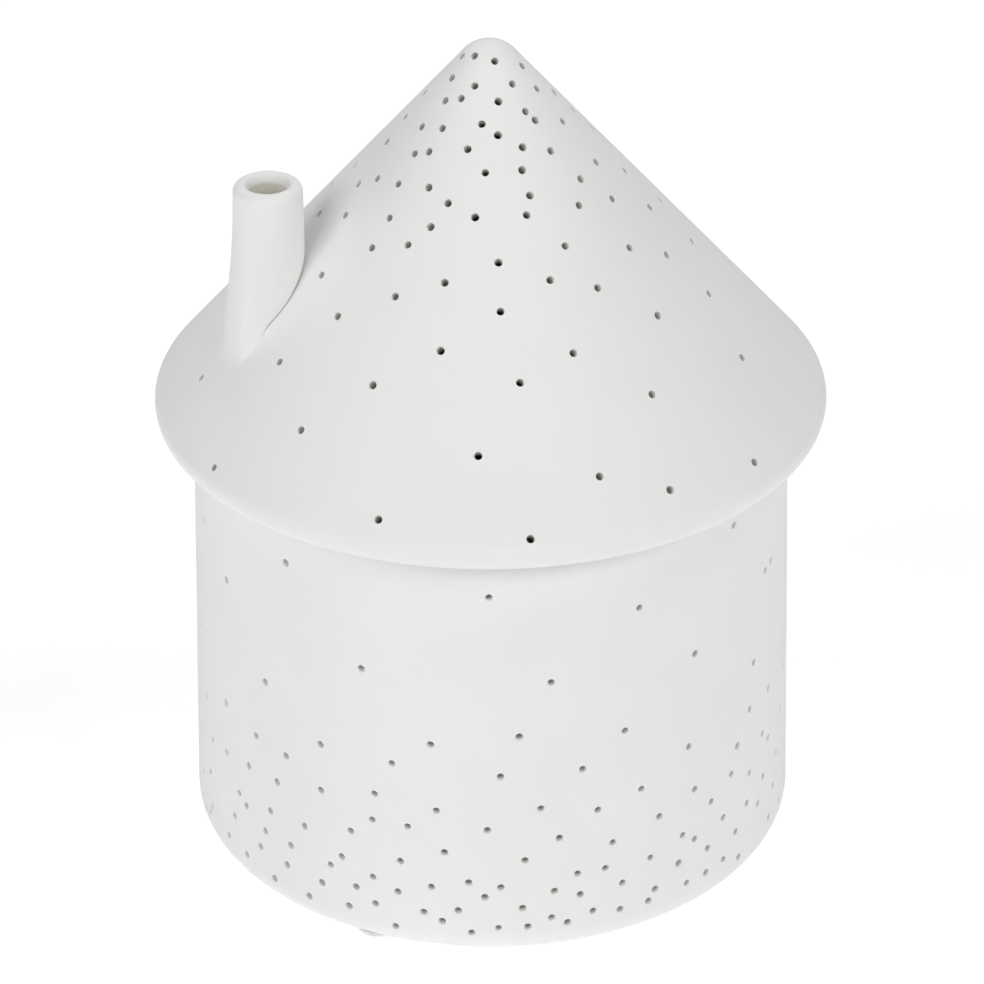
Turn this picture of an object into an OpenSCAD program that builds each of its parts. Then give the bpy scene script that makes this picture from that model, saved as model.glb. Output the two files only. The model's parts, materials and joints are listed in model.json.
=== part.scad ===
// Round porcelain tealight house: a pierced cup with a lift-off pierced roof, a chimney,
// three bumper feet, and the tealight that stands inside it.
// Z is up, the origin is at the centre of the circle that the feet stand on, and the front is -Y.

/* [House wall] */
// Outside diameter at the foot of the wall
foot_d = 109.8; // [100:0.2:120]
// Outside diameter at the top of the wall
top_d = 106.4; // [98:0.2:114]
// Height of the wall, from its foot to the rim that the roof rests on
wall_h = 82.2; // [76:0.2:90]
// Thickness of the cast porcelain
shell_t = 3.5; // [2.5:0.1:4]
// Radius of the rounded lower edge of the wall
foot_round = 5.5; // [4:0.5:8]
// Radius that softens the rim of the wall
rim_round = 1; // [0.5:0.1:1.4]

/* [Roof] */
// Outside diameter of the eave
eave_d = 120; // [116:0.5:126]
// Height of the roof, from the wall's rim to its tip
roof_h = 71.6; // [66:0.2:80]
// Radius of the rounded tip
tip_round = 6.2; // [5:0.1:8]
// Radius of the rounded eave
eave_round = 3.4; // [2.5:0.1:4]
// Depth of the flange that locates the roof in the wall
flange_h = 6; // [4:0.5:9]
// Gap between the flange and the wall
flange_gap = 0.5; // [0.3:0.1:1]

/* [Chimney] */
// Outside diameter at the chimney's rim
chimney_d = 12.2; // [11:0.1:14]
// Outside diameter that the chimney widens to at its foot
chimney_foot_d = 13.2; // [12:0.1:15]
// Diameter of the flue
flue_d = 7.2; // [6:0.1:8]
// Height of the chimney's rim above the wall's foot
chimney_top = 132.5; // [126:0.5:138]
// Distance of the chimney from the centre of the house
chimney_r = 40; // [36:0.5:42]
// Turn of the chimney from the front, negative to the left
chimney_turn = -73; // [-80:1:-60]
// Radius that softens the chimney's rim
chimney_round = 1.6; // [1:0.1:2]

/* [Pin holes] */
// Diameter of a pin hole
pin_d = 1.5; // [1.2:0.1:1.8]

/* [Feet] */
// Diameter of a bumper foot
pad_d = 7; // [6:0.5:10]
// Height that a foot lifts the house
pad_h = 1.5; // [1:0.1:2]
// Distance of the feet from the centre
pad_r = 48; // [38:0.5:48]
// Turn of the first foot from the front, negative to the left
pad_turn = -26; // [-60:1:60]

/* [Tealight] */
// Outside diameter of the tealight's cup
tealight_d = 38; // [37:0.1:39]
// Height of the tealight's cup
tealight_h = 15; // [13:0.5:18]
// Thickness of the cup's sheet
sheet_t = 0.4; // [0.3:0.1:0.5]
// Radius of the cup's rolled lip
lip_r = 0.5; // [0.4:0.1:0.6]
// Depth of the wax below the cup's lip
wax_drop = 2.5; // [2:0.5:5]
// Diameter of the wick
wick_d = 1.8; // [1.4:0.1:2.2]
// Length of wick that stands out of the wax
wick_out = 7; // [5:0.5:9]
// Diameter of the wick sustainer's disc
sustainer_d = 12; // [10:0.5:14]
// Outside diameter of the sustainer's neck
neck_d = 3; // [2.6:0.1:3.4]
// Height of the sustainer's neck above its disc
neck_h = 5; // [4:0.5:7]
// Inside diameter of the raised ring that centres the tealight
seat_d = 40; // [39.4:0.1:42]
// Height of the ring above the floor
seat_h = 2; // [1.5:0.1:3]
// Width of the ring
seat_w = 3; // [2.5:0.1:4]

/* [Hidden] */
$fn = 96;

// Pin holes of the wall, as seen from the front: [height above the wall's foot, [turns]].
// Turns are in degrees from the front, negative to the left.
wall_courses = [
    [5, [-18.5]],
    [5.5, [-4]],
    [6, [-74.5, -46, -37]],
    [6.5, [1, 6.5, 14]],
    [7, [-54.5, -28, 24.5, 30.5]],
    [7.5, [-61.5, -9.5, 39.5, 44.5]],
    [8, [11, 19, 49.5]],
    [9, [-22.5, -13, 32]],
    [10, [-34, -6.5]],
    [10.5, [-42.5, 5.5]],
    [11, [-50]],
    [11.5, [-26.5]],
    [12, [16.5, 53.5]],
    [12.5, [-18, 25, 37.5, 45]],
    [13, [-59, -1.5]],
    [13.5, [11.5, 62]],
    [14.5, [-32, -23, -11.5]],
    [15, [-48.5, -41.5, 1.5]],
    [16, [-4.5, 31, 41.5, 57.5]],
    [16.5, [16, 21.5]],
    [17, [-29.5, 49.5]],
    [17.5, [-54.5]],
    [18, [38.5, 64.5]],
    [19, [-57, -17.5]],
    [20, [-47]],
    [20.5, [-38, 6]],
    [21.5, [23]],
    [22, [-9, 46, 58.5]],
    [23, [-27.5]],
    [24, [33]],
    [24.5, [12.5]],
    [25, [-62, 52]],
    [26.5, [-53.5, -23, -16, 41.5]],
    [27, [-45, -1]],
    [27.5, [64]],
    [29, [20]],
    [29.5, [-34]],
    [30, [54]],
    [30.5, [-10.5]],
    [31, [9, 29]],
    [32, [-22.5]],
    [33.5, [-42.5]],
    [34, [-51]],
    [35.5, [-62, 58.5]],
    [36, [40]],
    [38, [1.5, 17]],
    [39, [-34, -19]],
    [44, [-11.5, 25.5]],
    [44.5, [60]],
    [46, [5]],
    [46.5, [-48]],
    [54.5, [41.5]],
    [56.5, [11]],
    [57, [-25]],
    [61, [65]],
    [61.5, [-61]],
    [68, [28.5]],
    [73, [-42]],
    [74, [-0.5]],
    [76, [52.5]],
];
// Pin holes of the roof, as seen from the front: [height above the wall's foot, [turns]].
roof_courses = [
    [88, [-55]],
    [88.5, [6.5]],
    [90, [-19.5, 52.5]],
    [91.5, [33]],
    [95.5, [-75, 20.5]],
    [98.5, [-40.5]],
    [99.5, [-2.5]],
    [101.5, [67.5]],
    [104, [37.5]],
    [105, [-55]],
    [107, [-28]],
    [109, [7]],
    [110.5, [73.5]],
    [112, [21.5]],
    [113, [-13, 50]],
    [114, [-45.5]],
    [115.5, [88.5]],
    [117.5, [-59.5]],
    [118.5, [3, 68.5]],
    [119, [-30]],
    [119.5, [35]],
    [122, [-85, -15, 20]],
    [122.5, [54.5]],
    [124, [-46, 80.5]],
    [125, [3]],
    [125.5, [-68]],
    [126, [-32, 29]],
    [128.5, [-45]],
    [129, [-25, 62]],
    [129.5, [-75, 87]],
    [130.5, [42.5]],
    [131, [-6.5, 16.5]],
    [132, [-65]],
    [132.5, [-20]],
    [133, [-50]],
    [133.5, [20, 51]],
    [134, [-32, 69]],
    [136, [-81]],
    [137, [-2.5, 19]],
    [137.5, [-50.5]],
    [138.5, [-41, 41.5]],
    [140, [-85, -15, 23]],
    [141, [-58, 67]],
    [142, [-39, 6.5]],
    [143, [41]],
    [143.5, [-6.5]],
    [144, [-90]],
    [144.5, [35.5]],
    [145.5, [-50]],
    [146.5, [-32.5, 10, 65]],
    [148.5, [-61, -20, 33]],
    [150, [70]],
    [151.5, [-75]],
    [152, [13]],
    [152.5, [-40]],
];
// The courses repeat round the house at this pitch, until the circle is closed
wall_repeat = 129;
roof_repeat = 180;
pin_sides = 16;

foot_r = foot_d / 2;
top_r = top_d / 2;
tip_z = wall_h + roof_h;
eave_c = [eave_d / 2 - eave_round, wall_h + eave_round];
tip_c = [0, tip_z - tip_round];

// The roof's straight side is the outer tangent of the eave's circle and the tip's circle
tip_rise = tip_c.y - eave_c.y;
centre_line = norm([eave_c.x, tip_rise]);
roof_pitch = atan2(tip_rise, eave_c.x) + asin((tip_round - eave_round) / centre_line);
roof_n = [sin(roof_pitch), cos(roof_pitch)];
eave_t = eave_c + eave_round * roof_n;
tip_t = tip_c + tip_round * roof_n;
apex_z = eave_t.y + eave_t.x * tan(roof_pitch);

draft = atan((foot_r - top_r) / wall_h);
flange_r = top_r - shell_t - flange_gap;
overshoot = 1;

tealight_body_r = tealight_d / 2 - lip_r;
tealight_z = pad_h + shell_t;
wax_top = tealight_h - wax_drop;

function wall_x(z) = foot_r + (top_r - foot_r) * z / wall_h;
function roof_x(z) = (apex_z - z) / tan(roof_pitch);
function inner_roof_x(z) = roof_x(z) - shell_t / roof_n.x;
// Centre of a circle of radius r that touches the wall's face, moved in by inset, at height z
function wall_centre(z, r, inset) = [wall_x(z) - inset - r / cos(draft), z];

// Filled outline of a pot whose side follows the wall, with a rounded lower corner
module pot_outline(inset, floor_z, corner) {
    c = wall_centre(floor_z + corner, corner, inset);
    side = c + corner * [cos(draft), sin(draft)];
    polygon([[0, floor_z], [c.x, floor_z], side, [wall_x(wall_h) - inset, wall_h], [0, wall_h]]);
    translate(c) circle(corner);
}

// Upright strip from x0 to x1 and z0 to z1 with both upper corners rounded
module rounded_strip(x0, x1, z0, z1, corner) {
    translate([x0, z0]) square([x1 - x0, z1 - z0 - corner]);
    translate([x0 + corner, z0]) square([x1 - x0 - 2 * corner, z1 - z0]);
    for (x = [x0 + corner, x1 - corner])
        translate([x, z1 - corner]) circle(corner);
}

module wall_outline() {
    rim_x = wall_x(wall_h);
    shoulder_z = wall_h - 2 * rim_round;
    difference() {
        pot_outline(0, 0, foot_round);
        pot_outline(shell_t, shell_t, foot_round - shell_t);
        translate([0, shoulder_z]) square([foot_r, wall_h]);
    }
    rounded_strip(rim_x - shell_t, rim_x, shoulder_z, wall_h, rim_round);
    rounded_strip(seat_d / 2, seat_d / 2 + seat_w, shell_t - overshoot, shell_t + seat_h, rim_round);
}

// One pin along Z through a shell whose outer face is at 0, reaching past both its faces
module pin(reach) {
    translate([0, 0, -shell_t - reach])
        cylinder(d = pin_d, h = shell_t + 2 * reach, $fn = pin_sides);
}

// One pin through the wall at height z, level and square to the wall
module wall_pin(z) {
    translate([0, -wall_x(z), z]) rotate([90, 0, 0]) pin(2 * overshoot);
}

// One pin through the roof at height z, square to the slope
module roof_pin(z) {
    translate([0, -roof_x(z), z]) rotate([roof_pitch, 0, 0]) pin(overshoot);
}

// Turns that a course's own turns repeat to, all the way round
function round_turns(turns, pitch) =
    [for (k = [0 : pitch : 359], t = turns) if (t + pitch / 2 + k < 360) t + k];

module house_wall() {
    color("whitesmoke")
    translate([0, 0, pad_h])
    difference() {
        rotate_extrude() wall_outline();
        for (course = wall_courses, turn = round_turns(course[1], wall_repeat))
            rotate(turn) wall_pin(course[0]);
    }
}

module foot_pad(turn) {
    color("white")
    rotate(turn) translate([0, -pad_r, pad_h]) mirror([0, 0, 1])
    rotate_extrude() {
        square([pad_d / 2, pad_h / 2]);
        square([pad_d / 2 - pad_h / 2, pad_h]);
        translate([pad_d / 2 - pad_h / 2, pad_h / 2]) circle(pad_h / 2);
    }
}

module roof_outline() {
    cavity_z = wall_h + shell_t;
    inner_tip = tip_c + (tip_round - shell_t) * roof_n;
    difference() {
        union() {
            polygon([[0, wall_h], [eave_c.x, wall_h], eave_t, tip_t, [0, tip_c.y]]);
            translate(eave_c) circle(eave_round);
            intersection() {
                translate(tip_c) circle(tip_round);
                translate([0, wall_h]) square([eave_d, roof_h]);
            }
        }
        polygon([[0, cavity_z], [inner_roof_x(cavity_z), cavity_z], inner_tip, [0, inner_tip.y]]);
        translate(tip_c) circle(tip_round - shell_t);
        translate([0, wall_h - overshoot]) square([flange_r - shell_t, shell_t + 2 * overshoot]);
    }
    translate([flange_r - shell_t, wall_h - flange_h]) square([shell_t, flange_h + overshoot]);
}

module at_chimney() {
    rotate(chimney_turn) translate([0, -chimney_r, 0]) children();
}

module roof() {
    color("whitesmoke")
    translate([0, 0, pad_h])
    difference() {
        rotate_extrude() roof_outline();
        at_chimney() translate([0, 0, wall_h + shell_t + overshoot]) cylinder(d = flue_d, h = roof_h);
        for (course = roof_courses, turn = round_turns(course[1], roof_repeat))
            rotate(turn) roof_pin(course[0]);
    }
}

module chimney_outline() {
    rim_r = chimney_d / 2;
    foot_z = wall_h + shell_t;
    spread = (chimney_foot_d - chimney_d) / 2;
    polygon([
        [flue_d / 2, foot_z],
        [rim_r + spread, foot_z],
        [rim_r, chimney_top - chimney_round],
        [rim_r - chimney_round, chimney_top],
        [flue_d / 2, chimney_top - chimney_round]
    ]);
    intersection() {
        translate([rim_r - chimney_round, chimney_top - chimney_round]) circle(chimney_round);
        translate([flue_d / 2, foot_z]) square([chimney_d, chimney_top]);
    }
}

module chimney() {
    color("whitesmoke")
    translate([0, 0, pad_h])
    difference() {
        at_chimney() rotate_extrude() chimney_outline();
        cylinder(r1 = roof_x(0), r2 = 0, h = apex_z);
    }
}

module tealight_cup() {
    color("silver")
    translate([0, 0, tealight_z])
    rotate_extrude() {
        square([tealight_body_r, sheet_t]);
        translate([tealight_body_r - sheet_t, 0]) square([sheet_t, tealight_h - lip_r]);
        translate([tealight_body_r, tealight_h - lip_r]) circle(lip_r);
    }
}

module wax() {
    color("ivory")
    translate([0, 0, tealight_z])
    difference() {
        translate([0, 0, sheet_t]) cylinder(r = tealight_body_r - sheet_t, h = wax_top - sheet_t);
        cylinder(d = sustainer_d, h = 2 * sheet_t);
        cylinder(d = neck_d, h = 2 * sheet_t + neck_h);
        cylinder(d = wick_d, h = tealight_h);
    }
}

module wick() {
    color("linen")
    translate([0, 0, tealight_z + sheet_t])
    cylinder(d = wick_d, h = wax_top - sheet_t + wick_out);
}

module wick_sustainer() {
    color("lightgray")
    translate([0, 0, tealight_z + sheet_t])
    difference() {
        union() {
            cylinder(d = sustainer_d, h = sheet_t);
            cylinder(d = neck_d, h = sheet_t + neck_h);
        }
        translate([0, 0, -overshoot]) cylinder(d = wick_d, h = neck_h + sheet_t + 2 * overshoot);
    }
}

house_wall();
foot_pad(pad_turn);  // foot_pad_front
foot_pad(pad_turn + 120);  // foot_pad_right
foot_pad(pad_turn + 240);  // foot_pad_left
roof();
chimney();
tealight_cup();
wax();
wick();
wick_sustainer();
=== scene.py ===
"""Pierced bisque porcelain tealight house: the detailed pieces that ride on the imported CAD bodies."""
import json
import math
import random

import bmesh
import bpy
from mathutils import Matrix, Vector


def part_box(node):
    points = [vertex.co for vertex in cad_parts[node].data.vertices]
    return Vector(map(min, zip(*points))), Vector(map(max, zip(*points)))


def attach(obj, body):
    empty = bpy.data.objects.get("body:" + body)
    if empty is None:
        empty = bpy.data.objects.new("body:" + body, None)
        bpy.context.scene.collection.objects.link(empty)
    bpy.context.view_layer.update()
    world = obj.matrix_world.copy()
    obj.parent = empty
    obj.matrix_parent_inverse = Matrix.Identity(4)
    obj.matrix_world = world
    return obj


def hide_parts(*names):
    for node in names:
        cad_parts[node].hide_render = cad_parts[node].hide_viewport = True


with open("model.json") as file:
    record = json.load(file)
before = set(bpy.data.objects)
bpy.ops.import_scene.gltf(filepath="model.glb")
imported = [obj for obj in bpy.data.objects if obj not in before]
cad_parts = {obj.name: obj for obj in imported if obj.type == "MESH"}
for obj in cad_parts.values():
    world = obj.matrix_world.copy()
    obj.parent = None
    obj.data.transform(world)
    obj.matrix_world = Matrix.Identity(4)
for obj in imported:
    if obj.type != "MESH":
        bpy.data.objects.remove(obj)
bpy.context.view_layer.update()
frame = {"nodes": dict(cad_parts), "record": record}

# Shapes are worked out in millimetres, and become metres when a mesh is made
MM = 0.001

# Driving dimensions of the porcelain, as in the CAD model, where only the flue is a little wider
FOOT_R = 54.9
TOP_R = 53.2
WALL_H = 82.2
SHELL_T = 3.5
FOOT_ROUND = 5.5
RIM_ROUND = 1.0
SEAT_R = 20.0
SEAT_W = 3.0
SEAT_H = 2.0
TIP_ROUND = 6.2
EAVE_ROUND = 3.4
FLANGE_GAP = 0.5
PIN_R = 0.75
FLUE_R = 3.4
CHIMNEY_R = 6.1
CHIMNEY_FOOT_R = 6.6
CHIMNEY_ROUND = 1.6

# How finely the meshes are divided, and the angle above which an edge is a crease
SHELL_SEGMENTS = 288
PIN_SEGMENTS = 24
TUBE_SEGMENTS = 64
LONGEST_SIDE = 2.0
SHARP = math.radians(17)


def lowest(node):
    """The lowest corner of a node's box at rest, in millimetres"""
    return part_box(node)[0] / MM


def highest(node):
    """The highest corner of a node's box at rest, in millimetres"""
    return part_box(node)[1] / MM


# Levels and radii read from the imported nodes
foot_z = lowest("house_wall").z
rim_z = highest("house_wall").z
flange_z = lowest("roof").z
tip_z = highest("roof").z
eave_r = highest("roof").x
chimney_top = highest("chimney").z
flue = next(o for o in frame["record"]["physics"]["openings"] if o["name"] == "flue")
flue_low, flue_high = (Vector(corner) / MM for corner in flue["box_m"])
chimney_axis = (flue_low + flue_high) / 2

# The roof's straight side is the outer tangent of the eave's circle and the tip's circle
eave_c = Vector((eave_r - EAVE_ROUND, rim_z + EAVE_ROUND))
tip_c = Vector((0, tip_z - TIP_ROUND))
roof_pitch = math.atan2(tip_c.y - eave_c.y, eave_c.x) + math.asin(
    (TIP_ROUND - EAVE_ROUND) / (tip_c - eave_c).length
)
roof_n = Vector((math.sin(roof_pitch), math.cos(roof_pitch)))
eave_t = eave_c + EAVE_ROUND * roof_n
apex_z = eave_t.y + eave_t.x * math.tan(roof_pitch)
draft = math.atan((FOOT_R - TOP_R) / WALL_H)


def wall_x(z):
    """Radius of the wall's outer face at a height"""
    return FOOT_R + (TOP_R - FOOT_R) * (z - foot_z) / WALL_H


def roof_x(z):
    """Radius of the roof's slope at a height"""
    return (apex_z - z) / math.tan(roof_pitch)


def roof_z(x, y):
    """Height of the roof's slope above a point of the floor"""
    return apex_z - math.hypot(x, y) * math.tan(roof_pitch)


def smooth(low, high, value):
    """0 at low, 1 at high and an even curve between them. Low may be the larger one."""
    t = min(1, max(0, (value - low) / (high - low)))
    return t * t * (3 - 2 * t)


# ---------------------------------------------------------------- outlines and meshes


def arc(centre, radius, start, end, steps):
    """Points of an arc in the (x, z) plane, angles in degrees from +x"""
    angles = [math.radians(start + (end - start) * k / steps) for k in range(steps + 1)]
    return [(centre[0] + radius * math.cos(a), centre[1] + radius * math.sin(a)) for a in angles]


def run(points, longest):
    """The outline with its long sides split, so that no side is longer than this"""
    result = [points[0]]
    for a, b in zip(points, points[1:]):
        steps = max(1, math.ceil(math.dist(a, b) / longest))
        result += [(a[0] + (b[0] - a[0]) * k / steps, a[1] + (b[1] - a[1]) * k / steps)
                   for k in range(1, steps + 1)]
    return result


def mesh_object(name, vertices, faces, materials, sharp=SHARP):
    mesh = bpy.data.meshes.new(name)
    mesh.from_pydata([tuple(c * MM for c in v) for v in vertices], [], faces)
    mesh.validate()
    for material in materials:
        mesh.materials.append(material)
    obj = bpy.data.objects.new(name, mesh)
    bpy.context.scene.collection.objects.link(obj)
    shade(obj, sharp)
    return obj


def shade(obj, sharp=SHARP):
    """Consistent outward normals, smooth faces, and creases where the surface really turns"""
    bm = bmesh.new()
    bm.from_mesh(obj.data)
    bmesh.ops.remove_doubles(bm, verts=bm.verts, dist=1e-7)
    bmesh.ops.recalc_face_normals(bm, faces=bm.faces)
    bm.to_mesh(obj.data)
    bm.free()
    obj.data.shade_smooth()
    obj.data.set_sharp_from_angle(angle=sharp)


def rings_to_faces(rings):
    """Faces between rings of vertex numbers, where a ring of one vertex is a pole"""
    faces = []
    for a, b in zip(rings, rings[1:]):
        count = max(len(a), len(b))
        for k in range(count):
            quad = [a[k % len(a)], a[(k + 1) % len(a)], b[(k + 1) % len(b)], b[k % len(b)]]
            face = list(dict.fromkeys(quad))
            if len(face) > 2:
                faces.append(face)
    return faces


def revolve(outline, segments, wobble=None):
    """Vertices and faces of an outline turned round Z. wobble(angle, x, z) may return a new (x, z)."""
    vertices, rings = [], []
    for x, z in outline:
        count = 1 if abs(x) < 1e-6 else segments
        rings.append(list(range(len(vertices), len(vertices) + count)))
        for k in range(count):
            angle = 2 * math.pi * k / segments
            px, pz = wobble(angle, x, z) if wobble else (x, z)
            vertices.append((px * math.cos(angle), px * math.sin(angle), pz))
    return vertices, rings_to_faces(rings)


def lathe(name, outline, segments, materials, wobble=None, sharp=SHARP):
    return mesh_object(name, *revolve(outline, segments, wobble), materials, sharp)


# ---------------------------------------------------------------- pin holes


def pin_places(node, on_outer_face):
    """(turn, height) of every pin hole in a CAD node: the middle of each small ring of sharp edges on its
    outer face. The turn is an angle in radians from +X."""
    crease = math.radians(50)
    widest = 4 * PIN_R
    bm = bmesh.new()
    bm.from_mesh(frame["nodes"][node].data)
    bmesh.ops.remove_doubles(bm, verts=bm.verts, dist=1e-6)
    sharp = [e for e in bm.edges if len(e.link_faces) == 2 and e.calc_face_angle(0) > crease]
    linked = {}
    for edge in sharp:
        for vertex in edge.verts:
            linked.setdefault(vertex, []).append(edge)
    places, seen = [], set()
    for start in linked:
        if start in seen:
            continue
        ring, stack = [], [start]
        seen.add(start)
        while stack:
            vertex = stack.pop()
            ring.append(vertex.co / MM)
            for edge in linked[vertex]:
                other = edge.other_vert(vertex)
                if other not in seen:
                    seen.add(other)
                    stack.append(other)
        low = Vector(map(min, zip(*ring)))
        high = Vector(map(max, zip(*ring)))
        middle = (low + high) / 2
        if (high - low).length < widest and on_outer_face(middle):
            places.append((math.atan2(middle.y, middle.x), middle.z))
    bm.free()
    return sorted(places)


def on_wall(p):
    """Whether a point is on the wall's outer face, and not on its rim"""
    return p.z < rim_z - SHELL_T and math.hypot(p.x, p.y) > wall_x(p.z) - SHELL_T / 2


def on_roof(p):
    """Whether a point is on the roof's outer face"""
    return math.hypot(p.x, p.y) > roof_x(p.z) - SHELL_T / 2


def pin_cutter(places, surface_x, lean, core, flares, rng):
    """Cutters for pin holes: each is a straight shaft of about the radius core, and its mouth flares where
    the pin was pushed through soft clay"""
    flare_steps = 5
    flare_turn = math.radians(70)
    past_inside = 1.2
    past_outside = 0.6
    stray = 1.5
    depth = SHELL_T + past_inside
    vertices, faces = [], []
    for turn, z in places:
        radius = core * rng.uniform(0.95, 1.05)
        flare = rng.uniform(*flares)
        profile = [(0, -depth), (radius, -depth)]
        for k in range(flare_steps + 1):
            a = flare_turn * k / flare_steps
            rise = math.sin(a) - math.sin(flare_turn)
            profile.append((radius + flare * (1 - math.cos(a)), flare * rise))
        mouth = profile[-1][0] + past_outside / math.tan(math.pi / 2 - flare_turn)
        profile += [(mouth, past_outside), (0, past_outside)]
        pin, pin_faces = revolve(profile, PIN_SEGMENTS)
        wander = [math.radians(rng.uniform(-stray, stray)) for _ in range(2)]
        place = (
            Matrix.Translation((surface_x(z) * math.cos(turn), surface_x(z) * math.sin(turn), z))
            @ Matrix.Rotation(turn, 4, "Z")
            @ Matrix.Rotation(math.pi / 2 - lean + wander[0], 4, "Y")
            @ Matrix.Rotation(wander[1], 4, "X")
        )
        base = len(vertices)
        vertices += [tuple(place @ Vector(v)) for v in pin]
        faces += [[base + i for i in f] for f in pin_faces]
    return vertices, faces


def cut(obj, *cutters):
    """obj with the cutters' solids taken away. What they leave gets the second material."""
    vertices, faces = [], []
    for more, more_faces in cutters:
        base = len(vertices)
        vertices += more
        faces += [[base + i for i in f] for f in more_faces]
    tool = mesh_object("cutter", vertices, faces, obj.data.materials)
    for face in tool.data.polygons:
        face.material_index = 1
    modifier = obj.modifiers.new("cut", "BOOLEAN")
    modifier.operation = "DIFFERENCE"
    modifier.solver = "MANIFOLD"
    modifier.object = tool
    evaluated = obj.evaluated_get(bpy.context.evaluated_depsgraph_get())
    mesh = bpy.data.meshes.new_from_object(evaluated)
    obj.modifiers.clear()
    obj.data = mesh
    mesh.name = obj.name
    bpy.data.objects.remove(tool)
    shade(obj)


# ---------------------------------------------------------------- materials


BISQUE_LIGHT = (0.86, 0.86, 0.855)
BISQUE_DARK = (0.84, 0.84, 0.83)
# Painted shade inside the pin holes, which darkens their bores and turns them yellowish with depth
WALL_PIN_PAINTED_SHADE = (0.82, 0.82, 0.77)
ROOF_PIN_PAINTED_SHADE = (0.74, 0.74, 0.67)
# The colour that the flue's bore goes to, darker and warmer, from 1.4 to 1.9 mm below the chimney's top
FLUE_DEEP = (0.70, 0.67, 0.605)


class Nodes:
    """Short calls that add shader nodes to a new material"""

    def __init__(self, name):
        self.material = bpy.data.materials.new(name)
        self.material.use_nodes = True
        self.tree = self.material.node_tree
        self.shader = self.tree.nodes["Principled BSDF"]
        self.coords = self.tree.nodes.new("ShaderNodeTexCoord")

    def add(self, kind, **values):
        node = self.tree.nodes.new(kind)
        for key, value in values.items():
            if key in node.inputs:
                node.inputs[key].default_value = value
            else:
                setattr(node, key, value)
        return node

    def join(self, source, target):
        self.tree.links.new(source, target)

    def noise(self, scale, detail=4.0, roughness=0.5):
        node = self.add("ShaderNodeTexNoise", Scale=scale, Detail=detail, Roughness=roughness)
        self.join(self.coords.outputs["Object"], node.inputs["Vector"])
        return node.outputs["Fac"]

    def spread(self, fac, low, high, start=0.3, end=0.7):
        """fac from start to end, mapped to low to high"""
        node = self.add("ShaderNodeMapRange")
        for key, value in (("From Min", start), ("From Max", end), ("To Min", low), ("To Max", high)):
            node.inputs[key].default_value = value
        self.join(fac, node.inputs["Value"])
        return node.outputs["Result"]

    def colours(self, fac, *pair):
        """A mix of two colours, each a triple or the output of a node"""
        node = self.add("ShaderNodeMix", data_type="RGBA")
        self.join(fac, node.inputs[0])
        for socket, colour in zip((node.inputs[6], node.inputs[7]), pair):
            if isinstance(colour, tuple):
                socket.default_value = (*colour, 1)
            else:
                self.join(colour, socket)
        return node.outputs[2]

    def depth_inside(self, surface_x):
        """How far inside a turned surface a point is, in metres across Z. The surface is straight in z."""
        flat = self.add("ShaderNodeVectorMath", operation="MULTIPLY")
        flat.inputs[1].default_value = (1, 1, 0)
        self.join(self.coords.outputs["Object"], flat.inputs[0])
        radius = self.add("ShaderNodeVectorMath", operation="LENGTH")
        self.join(flat.outputs["Vector"], radius.inputs[0])
        surface = self.add("ShaderNodeMath", operation="MULTIPLY_ADD")
        surface.inputs[1].default_value = surface_x(1) - surface_x(0)
        surface.inputs[2].default_value = surface_x(0) * MM
        self.join(self.height(), surface.inputs[0])
        depth = self.add("ShaderNodeMath", operation="SUBTRACT")
        self.join(surface.outputs["Value"], depth.inputs[0])
        self.join(radius.outputs["Value"], depth.inputs[1])
        return depth.outputs["Value"]

    def height(self):
        split = self.add("ShaderNodeSeparateXYZ")
        self.join(self.coords.outputs["Object"], split.inputs["Vector"])
        return split.outputs["Z"]

    def depth_below(self, level):
        depth = self.add("ShaderNodeMath", operation="SUBTRACT")
        depth.inputs[0].default_value = level * MM
        self.join(self.height(), depth.inputs[1])
        return depth.outputs["Value"]

    def bumps(self, *layers):
        """Bump layers of (height, distance in metres, strength), one on the other"""
        normal = None
        for height, distance, strength in layers:
            node = self.add("ShaderNodeBump", Distance=distance, Strength=strength)
            self.join(height, node.inputs["Height"])
            if normal:
                self.join(normal, node.inputs["Normal"])
            normal = node.outputs["Normal"]
        self.join(normal, self.shader.inputs["Normal"])

    def set(self, **values):
        for key, value in values.items():
            self.shader.inputs[key.replace("_", " ")].default_value = value


def bisque(name, deep=None, depth_of=None, shallow=0.0, deepest=1.0):
    """Unglazed porcelain: a dry, fine-grained white with faint cloudiness. Where depth_of gives a depth in
    metres, the colour goes to deep between the shallow and the deepest millimetre."""
    n = Nodes(name)
    clouds = n.noise(45, 3)
    grain = n.noise(2600, 3, 0.6)
    pits = n.noise(900, 2)
    colour = n.colours(n.spread(clouds, 0, 1), BISQUE_LIGHT, BISQUE_DARK)
    if depth_of:
        colour = n.colours(n.spread(depth_of(n), 0, 1, shallow * MM, deepest * MM), colour, deep)
    n.join(colour, n.shader.inputs["Base Color"])
    n.join(n.spread(grain, 0.78, 0.92), n.shader.inputs["Roughness"])
    n.bumps((n.noise(160, 2), 0.0002, 0.05), (pits, 0.00005, 0.15), (grain, 0.00002, 0.3))
    n.set(Specular_IOR_Level=0.35)
    return n.material


def pin_bore_painted_shade(name, deep, surface_x, lean):
    """The clay inside the pin holes, with painted shade: the colour darkens with depth and turns yellowish
    like light that has passed through the clay. Lean is the surface's, from upright.
    """
    shallow, deepest = 0.1, 2.4
    across = math.cos(lean)
    return bisque(name, deep, lambda n: n.depth_inside(surface_x), shallow / across, deepest / across)


porcelain = bisque("bisque_porcelain")


# ---------------------------------------------------------------- house wall


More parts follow.
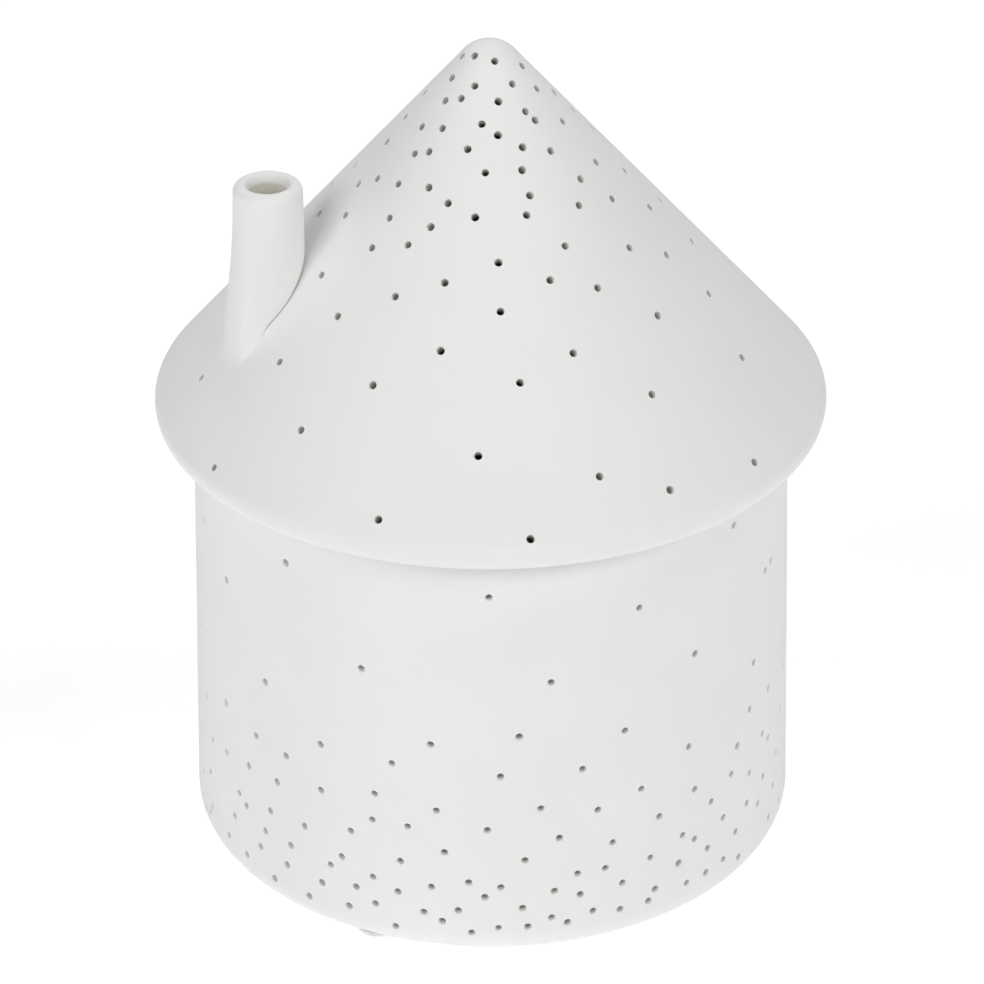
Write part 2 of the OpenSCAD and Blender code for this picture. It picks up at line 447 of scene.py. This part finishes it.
def wall_outline():
    foot_c = (wall_x(foot_z + FOOT_ROUND) - FOOT_ROUND / math.cos(draft), foot_z + FOOT_ROUND)
    inner_round = FOOT_ROUND - SHELL_T
    floor_z = foot_z + SHELL_T
    inner_z = floor_z + inner_round
    inner_c = (wall_x(inner_z) - SHELL_T - inner_round / math.cos(draft), inner_z)
    lean = math.degrees(draft)
    points = [(0, foot_z)]
    points += arc(foot_c, FOOT_ROUND, -90, lean, 14)
    points += arc((TOP_R - RIM_ROUND, rim_z - RIM_ROUND), RIM_ROUND, 0, 90, 8)
    points += arc((TOP_R - SHELL_T + RIM_ROUND, rim_z - RIM_ROUND), RIM_ROUND, 90, 180, 8)
    points += arc(inner_c, inner_round, lean, -90, 8)
    ring_top = floor_z + SEAT_H - RIM_ROUND
    points.append((SEAT_R + SEAT_W, floor_z))
    points += arc((SEAT_R + SEAT_W - RIM_ROUND, ring_top), RIM_ROUND, 0, 90, 8)
    points += arc((SEAT_R + RIM_ROUND, ring_top), RIM_ROUND, 90, 180, 8)
    points += [(SEAT_R, floor_z), (0, floor_z)]
    return run(points, LONGEST_SIDE)


# The wall's pin holes get painted shade inside
house = lathe("house_wall_shell", wall_outline(), SHELL_SEGMENTS,
              [porcelain, pin_bore_painted_shade("bisque_wall_pins_painted_shade", WALL_PIN_PAINTED_SHADE, wall_x, draft)])
cut(house, pin_cutter(pin_places("house_wall", on_wall), wall_x, lean=0,
                      core=0.64, flares=(0.22, 0.32), rng=random.Random(4)))
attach(house, "house")
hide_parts("house_wall")


# ---------------------------------------------------------------- roof


def roof_outline():
    flange_r = TOP_R - SHELL_T - FLANGE_GAP
    opening_r = flange_r - SHELL_T
    plate_z = rim_z + SHELL_T
    slope = 90 - math.degrees(roof_pitch)
    inner_x = roof_x(plate_z) - SHELL_T / roof_n.x
    inner_round = TIP_ROUND - SHELL_T
    points = [(0, tip_z)]
    points += arc(tip_c, TIP_ROUND, 90, slope, 8)[1:]
    points += arc(eave_c, EAVE_ROUND, slope, -90, 16)
    points += [(flange_r, rim_z), (flange_r, flange_z), (opening_r, flange_z)]
    points += [(opening_r, plate_z), (inner_x, plate_z)]
    points += arc(tip_c, inner_round, slope, 90, 8)[:-1]
    points.append((0, tip_c.y + inner_round))
    return run(points, LONGEST_SIDE)


def flue_cutter():
    """A rod through the roof alone, from above the plate inside it to above its tip"""
    low, high = rim_z + SHELL_T + 1, tip_z + 5
    vertices, faces = revolve([(0, low), (FLUE_R, low), (FLUE_R, high), (0, high)], TUBE_SEGMENTS)
    return [(x + chimney_axis.x, y + chimney_axis.y, z) for x, y, z in vertices], faces


roof_lean = math.pi / 2 - roof_pitch
# The roof's pin holes get painted shade inside
roof = lathe("roof_shell", roof_outline(), SHELL_SEGMENTS,
             [porcelain, pin_bore_painted_shade("bisque_roof_pins_painted_shade", ROOF_PIN_PAINTED_SHADE, roof_x, roof_lean)])
roof_pins = pin_cutter(pin_places("roof", on_roof), roof_x, roof_lean,
                       core=0.69, flares=(0.12, 0.2), rng=random.Random(9))
cut(roof, roof_pins, flue_cutter())
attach(roof, "roof_lid")
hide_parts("roof")


# ---------------------------------------------------------------- chimney


def chimney_piece():
    """A clay tube whose foot is smeared into the roof on the left and has a rounded heel on the right"""
    segments = 2 * TUBE_SEGMENTS
    foot_steps = 12
    side_rows = 18
    bury = 0.6
    # On the smeared side the tube widens by this much over this drop
    flare = 1.9
    flare_drop = 24
    # The foot's round starts this high up the tube, and ends this far out on the roof
    heel_up, smear_up = 3.0, 2.0
    heel_out, smear_out = -0.9, 2.7
    heel_lift = 0.2
    mouth_r = CHIMNEY_R - FLUE_R - CHIMNEY_ROUND
    mouth_depth = 1.7
    shoulder_z = chimney_top - CHIMNEY_ROUND
    taper = (CHIMNEY_FOOT_R - CHIMNEY_R) / (shoulder_z - rim_z - SHELL_T)

    def tube_r(z, smeared):
        down = shoulder_z - z
        return CHIMNEY_R + smeared * (taper * down + flare * min(1, down / flare_drop) ** 2)

    lip = [(x, chimney_top + (z - chimney_top) * mouth_depth / mouth_r)
           for x, z in arc((FLUE_R + mouth_r, chimney_top - mouth_r), mouth_r, 180, 90, 8)]
    lip += arc((CHIMNEY_R - CHIMNEY_ROUND, shoulder_z), CHIMNEY_ROUND, 90, 0, 10)
    columns = []
    for k in range(segments):
        angle = 2 * math.pi * k / segments
        direction = Vector((math.cos(angle), math.sin(angle)))

        def roof_at(r, d=direction):
            return roof_z(chimney_axis.x + r * d.x, chimney_axis.y + r * d.y)

        # 1 where the clay was smeared, on the side from the front round to the left
        round_front = (math.degrees(angle) - 180) % 360
        smeared = smooth(92, 50, round_front) if round_front < 180 else smooth(300, 350, round_front)
        up = heel_up + smear_up * smeared
        out = heel_out + smear_out * smeared
        corner_r = CHIMNEY_FOOT_R
        for _ in range(6):
            corner_r = tube_r(roof_at(corner_r), smeared)
        corner = Vector((corner_r, roof_at(corner_r)))
        start = Vector((tube_r(corner.y + up, smeared), corner.y + up))
        end = Vector((corner_r + out, roof_at(corner_r + out)))
        turn = corner + Vector((0, heel_lift * (1 - smeared)))
        column = [(FLUE_R, roof_at(FLUE_R) - bury)] + lip
        for i in range(1, side_rows):
            z = shoulder_z + (start.y - shoulder_z) * i / side_rows
            column.append((tube_r(z, smeared), z))
        for i in range(foot_steps + 1):
            t = i / foot_steps
            column.append(tuple((1 - t) ** 2 * start + 2 * t * (1 - t) * turn + t * t * end))
        column.append((end.x, end.y - bury))
        columns.append([(chimney_axis.x + r * direction.x, chimney_axis.y + r * direction.y, z)
                        for r, z in column])
    rows = list(zip(*columns))
    vertices = [v for row in rows for v in row]
    rings = [list(range(i * segments, (i + 1) * segments)) for i in range(len(rows))]
    bore = bisque("bisque_flue", FLUE_DEEP, lambda n: n.depth_below(chimney_top), shallow=1.4, deepest=1.9)
    obj = mesh_object("chimney_stack", vertices, rings_to_faces(rings + rings[:1]), [porcelain, bore],
                      math.radians(25))
    bore_r = FLUE_R + 0.1
    for face in obj.data.polygons:
        face.material_index = int((face.center / MM - chimney_axis).xy.length < bore_r)
    return obj


chimney = chimney_piece()
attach(chimney, "roof_lid")
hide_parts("chimney")


# ---------------------------------------------------------------- feet


def clear_rubber():
    """Soft, milky silicone rubber, with the fine dust that it picks up"""
    n = Nodes("clear_rubber")
    dust = n.noise(900, 4, 0.6)
    n.join(n.colours(n.spread(dust, 0, 1), (0.80, 0.80, 0.785), (0.70, 0.70, 0.68)),
           n.shader.inputs["Base Color"])
    n.join(n.spread(dust, 0.42, 0.62), n.shader.inputs["Roughness"])
    n.bumps((n.noise(1500, 2), 0.00002, 0.2))
    n.set(IOR=1.41, Subsurface_Weight=0.2, Subsurface_Radius=(0.001, 0.001, 0.001), Subsurface_Scale=0.5)
    return n.material


def bumper(node, material):
    """A moulded self-adhesive dome, flat on the side that is stuck to the house"""
    low, high = lowest(node), highest(node)
    centre = (low + high) / 2
    radius, height = (high.x - low.x) / 2, high.z - low.z
    flat = 0.5 * radius
    shoulder = 0.88 * height
    outline = [(0, 0)]
    for k in range(11):
        a = math.radians(9 * k)
        outline.append((flat + (radius - flat) * math.sin(a), shoulder * (1 - math.cos(a))))
    outline += [(radius, height), (0, height)]
    vertices, faces = revolve(outline, TUBE_SEGMENTS)
    vertices = [(x + centre.x, y + centre.y, z + low.z) for x, y, z in vertices]
    obj = mesh_object(node + "_bumper", vertices, faces, [material], math.radians(30))
    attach(obj, "house")
    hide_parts(node)


rubber = clear_rubber()
for foot in ("foot_pad_front", "foot_pad_right", "foot_pad_left"):
    bumper(foot, rubber)


# ---------------------------------------------------------------- tealight

cup_z = lowest("tealight_cup").z
cup_top = highest("tealight_cup").z
lip_out = highest("tealight_cup").x
wax_z = lowest("wax").z
wax_top = highest("wax").z
wick_top = highest("wick").z
neck_top = highest("wick_sustainer").z

# Dimensions of the tealight's own details
SHEET_T = 0.28
LIP_R = 0.5
FLUTES = 54
WICK_R = 0.9
NECK_R = 1.5
DISC_T = 0.4


def aluminium(name, tint, roughness):
    """Thin rolled sheet: bright metal with faint rolling lines round it and soft handling marks"""
    n = Nodes(name)
    marks = n.noise(220, 4, 0.6)
    stretch = n.add("ShaderNodeMapping")
    stretch.inputs["Scale"].default_value = (1, 1, 30)
    n.join(n.coords.outputs["Object"], stretch.inputs["Vector"])
    lines = n.add("ShaderNodeTexNoise", Scale=260, Detail=3)
    n.join(stretch.outputs["Vector"], lines.inputs["Vector"])
    n.join(n.spread(marks, roughness - 0.06, roughness + 0.1), n.shader.inputs["Roughness"])
    n.bumps((marks, 0.00005, 0.14), (lines.outputs["Fac"], 0.00001, 0.35))
    n.set(Base_Color=(*tint, 1), Metallic=1.0)
    return n.material


def tealight_cup():
    """A pressed cup with a raised panel in its base, shallow flutes round its side and a rolled lip"""
    body_r = lip_out - LIP_R
    step = 0.5
    flute_depth = 0.09
    outline = [(0, cup_z + step), (12.6, cup_z + step), (13.2, cup_z + 0.1), (13.5, cup_z), (16.9, cup_z)]
    outline += arc((17.0, cup_z + 1.3), 1.3, -90, 0, 8)[1:]
    outline += [(body_r - 0.12, cup_z + 2.6)]
    outline += arc((body_r, cup_top - LIP_R), LIP_R, -75, 180, 18)
    outline += [(body_r - LIP_R + 0.12, cup_top - 1.3)]
    outline += [(body_r - 0.12 - SHEET_T, cup_z + 2.6)]
    outline += arc((17.0, cup_z + 1.3), 1.3 - SHEET_T, 0, -90, 8)
    outline += [(13.6, cup_z + SHEET_T), (13.3, cup_z + 0.1 + SHEET_T), (12.7, cup_z + step + SHEET_T)]
    outline += [(0, cup_z + step + SHEET_T)]

    def flute(angle, x, z):
        depth = flute_depth * smooth(cup_z + 1.2, cup_z + 3, z) * smooth(cup_top - 0.9, cup_top - 2.2, z)
        return (x + depth * math.cos(FLUTES * angle), z) if x > 15 else (x, z)

    obj = lathe("tealight_cup_foil", run(outline, 1.2), FLUTES * 8,
                [aluminium("cup_aluminium", (0.90, 0.91, 0.92), 0.24)], flute, math.radians(40))
    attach(obj, "tealight")
    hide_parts("tealight_cup")


def wax_fill():
    """Cast wax with a dull bloom, which fits round the sustainer and the wick with a small gap"""
    n = Nodes("tealight_wax")
    bloom = n.noise(320, 4, 0.55)
    n.join(n.colours(n.spread(bloom, 0, 1), (0.90, 0.885, 0.84), (0.87, 0.85, 0.79)),
           n.shader.inputs["Base Color"])
    n.join(n.spread(bloom, 0.36, 0.52), n.shader.inputs["Roughness"])
    n.bumps((n.noise(120, 3), 0.0003, 0.12), (bloom, 0.00004, 0.2))
    n.set(Subsurface_Weight=0.35, Subsurface_Radius=(0.004, 0.003, 0.002), Subsurface_Scale=0.5)
    edge_r = 18.0
    gap = 0.05
    surface = wax_top - 0.55
    disc_r = highest("wick_sustainer").x + gap
    outline = [(disc_r, wax_z), (edge_r - 0.9, wax_z)]
    outline += arc((edge_r - 0.9, wax_z + 0.9), 0.9, -90, 0, 6)[1:]
    # The surface climbs the cup and the wick, and sinks a little between them
    outline += [(edge_r, surface + 0.5), (edge_r - 0.35, surface + 0.26), (edge_r - 1.0, surface + 0.1)]
    outline += [(edge_r - 2.2, surface), (11, surface - 0.12), (6, surface - 0.2), (3.2, surface - 0.12)]
    outline += [(1.9, surface + 0.08), (1.25, surface + 0.34), (WICK_R + gap, surface + 0.55)]
    outline += [(WICK_R + gap, neck_top + gap), (NECK_R + gap, neck_top + gap)]
    outline += [(NECK_R + gap, wax_z + DISC_T + gap), (disc_r, wax_z + DISC_T + gap), (disc_r, wax_z)]

    def settle(angle, x, z):
        ripple = 0.05 * math.sin(2 * angle + 0.6) + 0.03 * math.sin(5 * angle + 2)
        return (x, z + ripple * smooth(18, 9, x) * smooth(3, 6, x)) if z > surface - 0.3 else (x, z)

    obj = lathe("tealight_wax_fill", run(outline, 0.8), 160, [n.material], settle, math.radians(32))
    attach(obj, "tealight")
    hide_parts("wax")


def braided_wick():
    """Three cotton strands twisted into a cord, a little bent where it stands out of the wax"""
    n = Nodes("wick_cotton")
    fibre = n.noise(3500, 4, 0.6)
    n.join(n.colours(n.spread(fibre, 0, 1), (0.86, 0.84, 0.78), (0.74, 0.71, 0.63)),
           n.shader.inputs["Base Color"])
    n.bumps((fibre, 0.00005, 0.5))
    n.set(Roughness=0.8, Sheen_Weight=0.25)
    strands = 3
    sides = 12
    step = 0.22
    twist = 2 * math.pi / 4.2
    strand_r = 0.41
    vertices, faces = [], []
    rows = int((wick_top - wax_z) / step)
    for strand in range(strands):
        rings = []
        for row in range(rows + 1):
            z = wax_z + (wick_top - wax_z) * row / rows
            free = max(0, z - wax_top)
            bend = 0.02 * free * free
            turn = twist * z + 2 * math.pi * strand / strands
            swell = strand_r * (1 + 0.05 * math.sin(9 * z + strand))
            if row == rows:
                swell *= 0.55
            cx = bend + (WICK_R - strand_r - 0.02) * math.cos(turn)
            cy = 0.4 * bend + (WICK_R - strand_r - 0.02) * math.sin(turn)
            rings.append(list(range(len(vertices), len(vertices) + sides)))
            vertices += [(cx + swell * math.cos(2 * math.pi * k / sides),
                          cy + swell * math.sin(2 * math.pi * k / sides), z - 0.01 * free * free)
                         for k in range(sides)]
        faces += rings_to_faces(rings)
        faces += [rings[0][::-1], rings[-1]]
    obj = mesh_object("braided_wick", vertices, faces, [n.material], math.radians(60))
    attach(obj, "tealight")
    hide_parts("wick")


tealight_cup()
wax_fill()
braided_wick()
sustainer = frame["nodes"]["wick_sustainer"]
sustainer.data.materials.clear()
sustainer.data.materials.append(aluminium("sustainer_tin", (0.72, 0.72, 0.71), 0.34))


# ---------------------------------------------------------------- stage, light and camera


def floor():
    """A wide pale sheet, with a little light of its own so that it comes out white"""
    mesh = bpy.data.meshes.new("floor")
    half = 3.0
    corners = [(-half, -half, 0), (half, -half, 0), (half, half, 0), (-half, half, 0)]
    mesh.from_pydata(corners, [], [(0, 1, 2, 3)])
    obj = bpy.data.objects.new("floor", mesh)
    bpy.context.scene.collection.objects.link(obj)
    n = Nodes("pale_floor")
    n.set(Base_Color=(0.92, 0.92, 0.92, 1), Roughness=0.9)
    n.set(Emission_Color=(1, 1, 1, 1), Emission_Strength=0.37)
    mesh.materials.append(n.material)


def softbox(name, azimuth, elevation, power):
    """A round softbox that faces the house. Azimuth 0 is on the camera's side, 90 on the right."""
    distance = 1.6
    data = bpy.data.lights.new(name, "AREA")
    data.shape = "DISK"
    data.size = 0.6
    data.energy = power
    obj = bpy.data.objects.new(name, data)
    a, e = math.radians(azimuth), math.radians(elevation)
    back = Vector((math.sin(a) * math.cos(e), -math.cos(a) * math.cos(e), math.sin(e)))
    obj.location = Vector((0, 0, 0.08)) + back * distance
    obj.rotation_mode = "QUATERNION"
    obj.rotation_quaternion = back.to_track_quat("Z", "Y")
    bpy.context.scene.collection.objects.link(obj)


def studio():
    """Soft light from all round: more boxes on the left, stronger ones on the right and behind"""
    world = bpy.data.worlds.new("studio")
    world.use_nodes = True
    background = world.node_tree.nodes["Background"]
    background.inputs["Color"].default_value = (1, 1, 1, 1)
    background.inputs["Strength"].default_value = 0.02
    bpy.context.scene.world = world
    softbox("front_left", -30, 35, 4.6)
    softbox("front_right", 45, 35, 7.1)
    softbox("left_low", -55, 25, 3.3)
    softbox("left_mid", -55, 45, 2.2)
    softbox("left_high", -90, 60, 2.2)
    softbox("right_high", 90, 55, 4.5)
    softbox("top", 0, 80, 2.3)
    softbox("back", 180, 40, 6.4)


def camera():
    """The camera looks down on the house from the front, a little turned about its own line of sight"""
    elevation = 29.8
    roll = 0.26
    distance = 0.8857
    aim = Vector((0.00015, 0, 0.0658))
    data = bpy.data.cameras.new("camera")
    data.sensor_width = 36
    data.lens = 178.9
    obj = bpy.data.objects.new("camera", data)
    e = math.radians(elevation)
    obj.location = aim + distance * Vector((0, -math.cos(e), math.sin(e)))
    obj.rotation_euler = (
        Matrix.Rotation(math.pi / 2 - e, 3, "X") @ Matrix.Rotation(math.radians(-roll), 3, "Z")
    ).to_euler()
    bpy.context.scene.collection.objects.link(obj)
    bpy.context.scene.camera = obj
    bpy.context.scene.view_settings.view_transform = "Standard"


floor()
studio()
camera()
